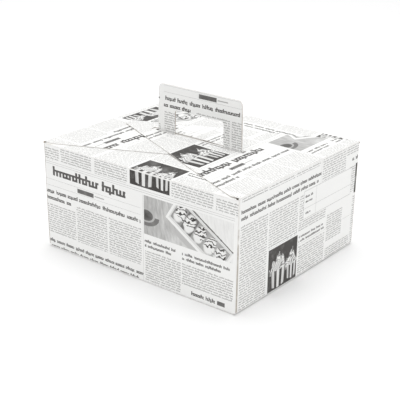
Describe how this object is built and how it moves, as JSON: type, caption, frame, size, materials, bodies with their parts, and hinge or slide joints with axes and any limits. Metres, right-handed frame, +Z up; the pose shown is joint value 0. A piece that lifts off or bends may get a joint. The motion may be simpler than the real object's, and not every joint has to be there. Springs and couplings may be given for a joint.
{
  "type": "folding carrier box",
  "caption": "Folded paperboard carrier box printed like newsprint, with a slotted lock flap over interlocking top flaps and a fold-up carry handle.",
  "frame": {"origin": "middle of the base, on the surface the box stands on", "axes": "+X along the front wall to the right, +Y from the front wall to the back wall, +Z up through the handle"},
  "size_m": [0.305, 0.262, 0.2058],
  "materials": {
    "printed_board": "matte white board with grey newsprint-like print",
    "handle_board": "matte white board with grey print, raw cut edges",
    "creased_board": "crushed and cracked board at a fold",
    "base_board": "matte board, glued and unprinted"
  },
  "bodies": {
    "carton": {"front_panel": "printed_board", "back_panel": "printed_board", "left_panel": "printed_board", "right_panel": "printed_board", "glue_flap": "printed_board", "crease_back_right": "creased_board", "crease_back_left": "creased_board", "crease_front_left": "creased_board", "crease_front_right": "creased_board", "crease_base_front": "creased_board", "crease_base_back": "creased_board", "crease_base_left": "creased_board", "crease_base_right": "creased_board", "base_outer_flap": "base_board", "base_inner_flap": "base_board", "base_left_flap": "base_board", "base_right_flap": "base_board", "crease_top_front": "creased_board", "crease_top_back": "creased_board", "crease_top_left": "creased_board", "crease_top_right": "creased_board"},
    "right_lock": {"right_lock_flap": "printed_board"},
    "left_lock": {"left_lock_flap": "printed_board"},
    "front_top": {"front_flap": "printed_board", "crease_handle_front": "creased_board"},
    "back_top": {"back_flap": "printed_board", "crease_handle_back": "creased_board"},
    "front_grip": {"handle_front": "handle_board"},
    "back_grip": {"handle_back": "handle_board"}
  },
  "joints": [
    {"name": "right_lock_fold", "type": "hinge", "parent": "carton", "child": "right_lock", "pos_m": [0.15205, 0, 0.14235], "axis": [0, 1, 0], "range_deg": [0, 200]},
    {"name": "left_lock_fold", "type": "hinge", "parent": "carton", "child": "left_lock", "pos_m": [-0.15205, 0, 0.14145], "axis": [0, -1, 0], "range_deg": [0, 200]},
    {"name": "front_flap_fold", "type": "hinge", "parent": "carton", "child": "front_top", "pos_m": [0, -0.13055, 0.14055], "axis": [1, 0, 0], "range_deg": [0, 50]},
    {"name": "back_flap_fold", "type": "hinge", "parent": "carton", "child": "back_top", "pos_m": [0, 0.13055, 0.14055], "axis": [-1, 0, 0], "range_deg": [0, 50]},
    {"name": "front_grip_fold", "type": "hinge", "parent": "front_top", "child": "front_grip", "pos_m": [0, -0.00045, 0.1407], "axis": [1, 0, 0], "range_deg": [-50, 0]},
    {"name": "back_grip_fold", "type": "hinge", "parent": "back_top", "child": "back_grip", "pos_m": [0, 0.00045, 0.1407], "axis": [-1, 0, 0], "range_deg": [-50, 0]}
  ],
  "couplings": [
    {"joint": "left_lock_fold", "follows": "right_lock_fold", "ratio": 1},
    {"joint": "front_flap_fold", "follows": "right_lock_fold", "ratio": 0.25},
    {"joint": "back_flap_fold", "follows": "right_lock_fold", "ratio": 0.25},
    {"joint": "front_grip_fold", "follows": "right_lock_fold", "ratio": -0.25},
    {"joint": "back_grip_fold", "follows": "right_lock_fold", "ratio": -0.25}
  ]
}
